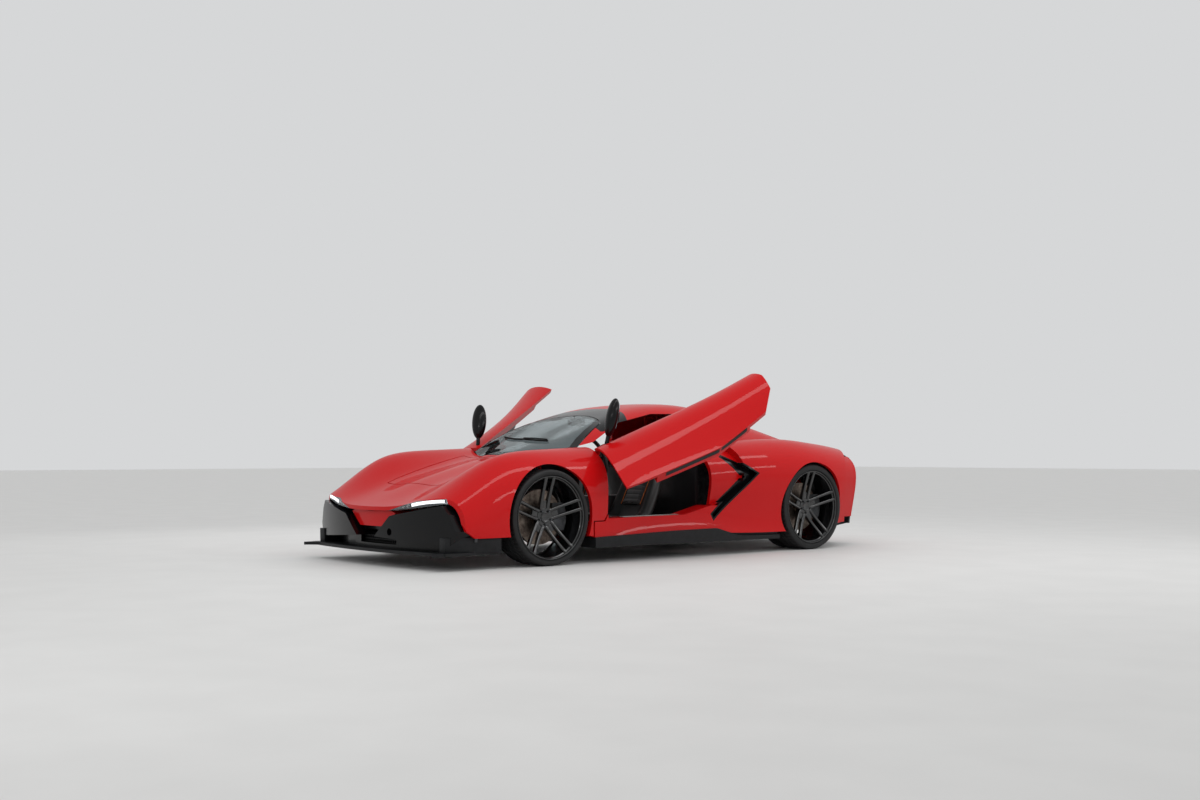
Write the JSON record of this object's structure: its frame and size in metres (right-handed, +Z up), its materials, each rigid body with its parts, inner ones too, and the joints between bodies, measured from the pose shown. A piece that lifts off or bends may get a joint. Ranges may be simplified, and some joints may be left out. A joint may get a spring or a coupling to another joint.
{
  "type": "sports car",
  "caption": "Low two-seat mid-engined sports car with forward-swinging doors, sloping nose, dark corner pods, twin-spoke wheels and a fastback tail.",
  "frame": {"origin": "centre of the overall box, on the ground the tyres stand on", "axes": "+X to the car's left, +Y to its tail, +Z up"},
  "size_m": [3.1288, 4.5498, 1.3873],
  "materials": {
    "red_paint": "gloss",
    "gloss_black": "gloss",
    "satin_black": "satin",
    "screen_glass": "gloss",
    "clear_lens": "gloss",
    "red_lens": "gloss",
    "frame_metal": "satin",
    "engine_metal": "matte",
    "steel": "satin",
    "seat_leather": "satin",
    "tyre_rubber": "matte",
    "wheel_black": "gloss",
    "disc_iron": "satin"
  },
  "bodies": {
    "car": {"chin": "red_paint", "dashboard": "satin_black", "diffuser": "satin_black", "engine": "engine_metal", "exhaust_tips": "steel", "floor_tub": "frame_metal", "front_clam": "red_paint", "front_fascia": "gloss_black", "front_frame": "frame_metal", "header": "gloss_black", "headlamps": "clear_lens", "hinge_brackets": "frame_metal", "rear_bumper": "red_paint", "rear_clam": "red_paint", "rear_frame": "frame_metal", "rear_uprights": "frame_metal", "roof": "red_paint", "seats": "seat_leather", "side_intakes": "gloss_black", "sills": "red_paint", "splitter_and_skirts": "satin_black", "steering_wheel": "seat_leather", "tail_lamps": "red_lens", "tail_panel": "gloss_black", "windscreen": "screen_glass"},
    "door_left": {"door_left": "red_paint", "mirror_left": "gloss_black"},
    "door_right": {"door_right": "red_paint", "mirror_right": "gloss_black"},
    "front_lid": {"front_lid": "red_paint"},
    "engine_lid": {"engine_lid": "red_paint"},
    "steer_left": {"knuckle_left": "frame_metal"},
    "steer_right": {"knuckle_right": "frame_metal"},
    "wheel_front_left": {"rim_front_left": "wheel_black", "tyre_front_left": "tyre_rubber", "disc_front_left": "disc_iron"},
    "wheel_front_right": {"rim_front_right": "wheel_black", "tyre_front_right": "tyre_rubber", "disc_front_right": "disc_iron"},
    "wheel_rear_left": {"rim_rear_left": "wheel_black", "tyre_rear_left": "tyre_rubber", "disc_rear_left": "disc_iron"},
    "wheel_rear_right": {"rim_rear_right": "wheel_black", "tyre_rear_right": "tyre_rubber", "disc_rear_right": "disc_iron"}
  },
  "joints": [
    {"name": "door_left_hinge", "type": "hinge", "parent": "car", "child": "door_left", "pos_m": [0.7562, -0.8148, 0.7934], "axis": [0.2756, -0.7738, -0.5703], "range_deg": [-51.43, 0]},
    {"name": "door_right_hinge", "type": "hinge", "parent": "car", "child": "door_right", "pos_m": [-0.7562, -0.8148, 0.7934], "axis": [0.2756, 0.7738, 0.5703], "range_deg": [-51.43, 0]},
    {"name": "front_lid_hinge", "type": "hinge", "parent": "car", "child": "front_lid", "pos_m": [0, -0.9925, 0.74], "axis": [-1, 0, 0], "range_deg": [0, 55]},
    {"name": "engine_lid_hinge", "type": "hinge", "parent": "car", "child": "engine_lid", "pos_m": [0, 0.617, 1.116], "axis": [1, 0, 0], "range_deg": [0, 50]},
    {"name": "steer_left_pivot", "type": "hinge", "parent": "car", "child": "steer_left", "pos_m": [0.746, -1.325, 0.338], "axis": [0, 0, 1], "range_deg": [-30, 30]},
    {"name": "steer_right_pivot", "type": "hinge", "parent": "car", "child": "steer_right", "pos_m": [-0.746, -1.325, 0.338], "axis": [0, 0, 1], "range_deg": [-30, 30]},
    {"name": "wheel_front_left_spin", "type": "hinge", "parent": "steer_left", "child": "wheel_front_left", "pos_m": [0.9, -1.325, 0.338], "axis": [1, 0, 0], "continuous": true},
    {"name": "wheel_front_right_spin", "type": "hinge", "parent": "steer_right", "child": "wheel_front_right", "pos_m": [-0.9, -1.325, 0.338], "axis": [1, 0, 0], "continuous": true},
    {"name": "wheel_rear_left_spin", "type": "hinge", "parent": "car", "child": "wheel_rear_left", "pos_m": [0.9, 1.375, 0.349], "axis": [1, 0, 0], "continuous": true},
    {"name": "wheel_rear_right_spin", "type": "hinge", "parent": "car", "child": "wheel_rear_right", "pos_m": [-0.9, 1.375, 0.349], "axis": [1, 0, 0], "continuous": true}
  ],
  "couplings": [
    {"joint": "steer_right_pivot", "follows": "steer_left_pivot", "ratio": 1}
  ]
}
